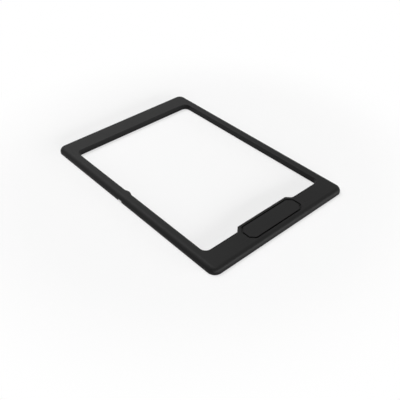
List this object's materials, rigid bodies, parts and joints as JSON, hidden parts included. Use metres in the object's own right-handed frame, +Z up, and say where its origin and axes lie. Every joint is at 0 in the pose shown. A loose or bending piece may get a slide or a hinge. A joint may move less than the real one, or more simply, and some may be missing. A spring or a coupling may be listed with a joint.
{
  "type": "hard drive spacer",
  "caption": "flat rectangular plastic spacer frame with a large open window, rounded upper edge and a bare eight-sided badge panel, laid on a slim 2.5 inch drive to fill a taller bay",
  "frame": {"origin": "middle of the flat underside", "axes": "+X across the frame, +Y along it away from the end with the badge panel, +Z up from the drive"},
  "size_m": [0.0694, 0.0992, 0.0025],
  "materials": {
    "spacer_frame": "fine matt moulded texture, near-black"
  },
  "bodies": {
    "root": {"spacer_frame": "spacer_frame"}
  },
  "joints": []
}
